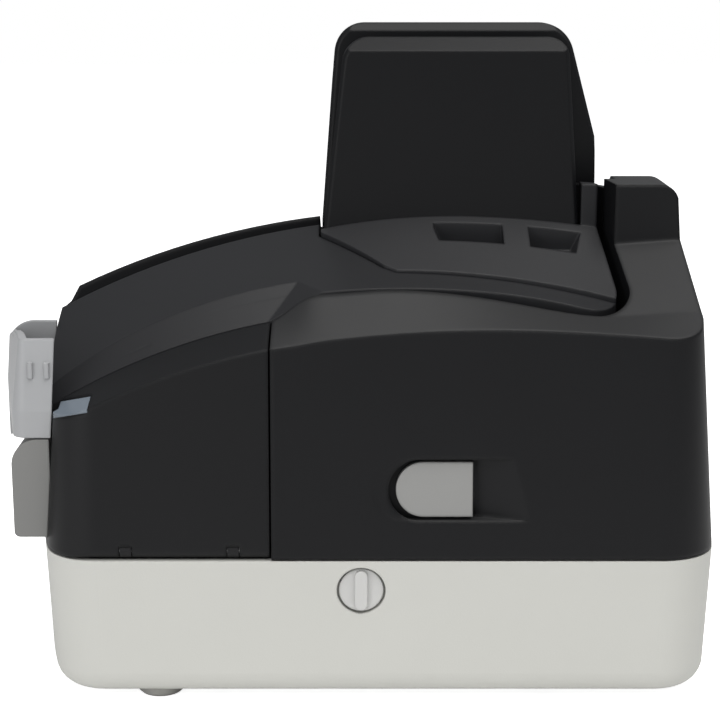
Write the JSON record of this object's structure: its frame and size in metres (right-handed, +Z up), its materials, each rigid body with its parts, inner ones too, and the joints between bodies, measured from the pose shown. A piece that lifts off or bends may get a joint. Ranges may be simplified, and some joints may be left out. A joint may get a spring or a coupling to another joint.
{
  "type": "cheque scanner",
  "caption": "Desktop cheque scanner with a pale base, black crowned covers, tall hopper plates, hinged side cover and door, and a grey exit pocket.",
  "frame": {"origin": "on the table, under the middle of the overall box", "axes": "+Z up, -Y towards the exit pocket at the front, +X towards the side that opens"},
  "size_m": [0.124, 0.1945, 0.1762],
  "materials": {
    "pale_housing": "fine satin",
    "black_plastic": "fine satin",
    "grey_plastic": "satin",
    "pale_grey_plastic": "satin",
    "clear_lens": "clear, bluish",
    "rubber": "dull",
    "steel": "plain",
    "brass": "sintered",
    "sensor_black": "gloss",
    "board": "green board"
  },
  "bodies": {
    "base": {"base_housing": "pale_housing", "rubber_feet": "rubber", "cover_screws": "steel", "chassis_plate": "steel", "shaft_bushings": "brass", "centre_frame": "black_plastic", "bearing_plate": "steel", "left_housing": "black_plastic", "cover_hinge_pin": "steel", "door_hinge_lugs": "black_plastic", "door_hinge_pin": "steel", "top_cover": "black_plastic", "front_panel": "black_plastic", "far_guide_plate": "black_plastic", "corner_guide": "black_plastic", "front_guide": "black_plastic", "outer_image_sensor": "sensor_black", "inner_image_sensor": "sensor_black", "magnetic_head": "steel", "main_belt": "rubber", "pick_belt": "rubber", "drive_motor": "steel", "retard_shaft": "steel", "front_idler_pin": "steel", "exit_tray": "grey_plastic", "main_board": "board", "dc_socket": "sensor_black", "usb_socket": "steel"},
    "swing_cover": {"outer_cover": "black_plastic", "rear_idler_pin": "steel"},
    "release": {"open_slide": "grey_plastic", "latch_bar": "black_plastic"},
    "door": {"front_door": "black_plastic", "status_lens": "clear_lens"},
    "feed_lid": {"feed_cover": "black_plastic", "near_guide_plate": "black_plastic"},
    "stopper": {"exit_stopper": "grey_plastic"},
    "dial": {"separation_dial": "pale_grey_plastic", "dial_cam": "pale_grey_plastic"},
    "pusher": {"pusher_plate": "black_plastic", "pusher_pins": "steel"},
    "power": {"power_button": "black_plastic"},
    "feed_drive": {"feed_roller": "rubber", "feed_shaft": "steel", "feed_pulley": "pale_grey_plastic"},
    "pick_drive": {"pick_roller": "rubber", "pick_shaft": "steel", "pick_pulley": "pale_grey_plastic"},
    "rear_drive": {"rear_drive_roller": "rubber", "rear_drive_shaft": "steel", "rear_drive_pulley": "pale_grey_plastic"},
    "front_drive": {"front_drive_roller": "rubber", "front_drive_shaft": "steel", "front_drive_pulley": "pale_grey_plastic"},
    "motor_drive": {"motor_pulley": "pale_grey_plastic", "motor_shaft": "steel"},
    "retard": {"retard_roller": "rubber"},
    "front_idle": {"front_idler": "pale_grey_plastic"},
    "rear_idle": {"rear_idler": "pale_grey_plastic"}
  },
  "joints": [
    {"name": "cover_swing", "type": "hinge", "parent": "base", "child": "swing_cover", "pos_m": [-0.03, 0.0863, 0.08], "axis": [0, 0, 1], "range_deg": [0, 35]},
    {"name": "release_slide", "type": "slide", "parent": "swing_cover", "child": "release", "axis": [0, -1, 0], "range_m": [0, 0.005], "stiffness_N_per_m": 150, "springref_m": -0.003},
    {"name": "door_swing", "type": "hinge", "parent": "base", "child": "door", "pos_m": [0.0597, -0.045, 0.0436], "axis": [0, 1, 0], "range_deg": [0, 90]},
    {"name": "feed_cover_lift", "type": "slide", "parent": "base", "child": "feed_lid", "axis": [0, 0, 1], "range_m": [0, 0.05]},
    {"name": "stopper_slide", "type": "slide", "parent": "base", "child": "stopper", "axis": [0, -1, 0], "range_m": [0, 0.03]},
    {"name": "dial_turn", "type": "hinge", "parent": "base", "child": "dial", "pos_m": [0.0619, 0.0033, 0.0328], "axis": [1, 0, 0], "range_deg": [-45, 45]},
    {"name": "pusher_slide", "type": "slide", "parent": "base", "child": "pusher", "axis": [1, 0, 0], "range_m": [0, 0.008], "stiffness_N_per_m": 60, "springref_m": -0.003},
    {"name": "power_press", "type": "slide", "parent": "base", "child": "power", "axis": [0, -1, 0], "range_m": [0, 0.002], "stiffness_N_per_m": 400, "springref_m": -0.002},
    {"name": "feed_spin", "type": "hinge", "parent": "base", "child": "feed_drive", "pos_m": [0.0103, 0.048, 0.06], "axis": [0, 0, 1], "continuous": true},
    {"name": "pick_spin", "type": "hinge", "parent": "base", "child": "pick_drive", "pos_m": [0.0103, 0.015, 0.06], "axis": [0, 0, 1], "continuous": true},
    {"name": "rear_drive_spin", "type": "hinge", "parent": "base", "child": "rear_drive", "pos_m": [0.0316, 0.042, 0.06], "axis": [0, 0, 1], "continuous": true},
    {"name": "front_drive_spin", "type": "hinge", "parent": "base", "child": "front_drive", "pos_m": [0.0316, -0.035, 0.06], "axis": [0, 0, 1], "continuous": true},
    {"name": "motor_spin", "type": "hinge", "parent": "base", "child": "motor_drive", "pos_m": [-0.04, 0.014, 0.04], "axis": [0, 0, 1], "continuous": true},
    {"name": "retard_spin", "type": "hinge", "parent": "base", "child": "retard", "pos_m": [-0.0095, 0.048, 0.06], "axis": [0, 0, 1], "continuous": true},
    {"name": "front_idler_spin", "type": "hinge", "parent": "base", "child": "front_idle", "pos_m": [0.0486, -0.035, 0.06], "axis": [0, 0, 1], "continuous": true},
    {"name": "rear_idler_spin", "type": "hinge", "parent": "swing_cover", "child": "rear_idle", "pos_m": [0.0486, 0.042, 0.06], "axis": [0, 0, 1], "continuous": true}
  ],
  "couplings": [
    {"joint": "pick_spin", "follows": "feed_spin", "ratio": 1},
    {"joint": "rear_drive_spin", "follows": "feed_spin", "ratio": 1},
    {"joint": "front_drive_spin", "follows": "feed_spin", "ratio": 1},
    {"joint": "motor_spin", "follows": "feed_spin", "ratio": 1}
  ]
}
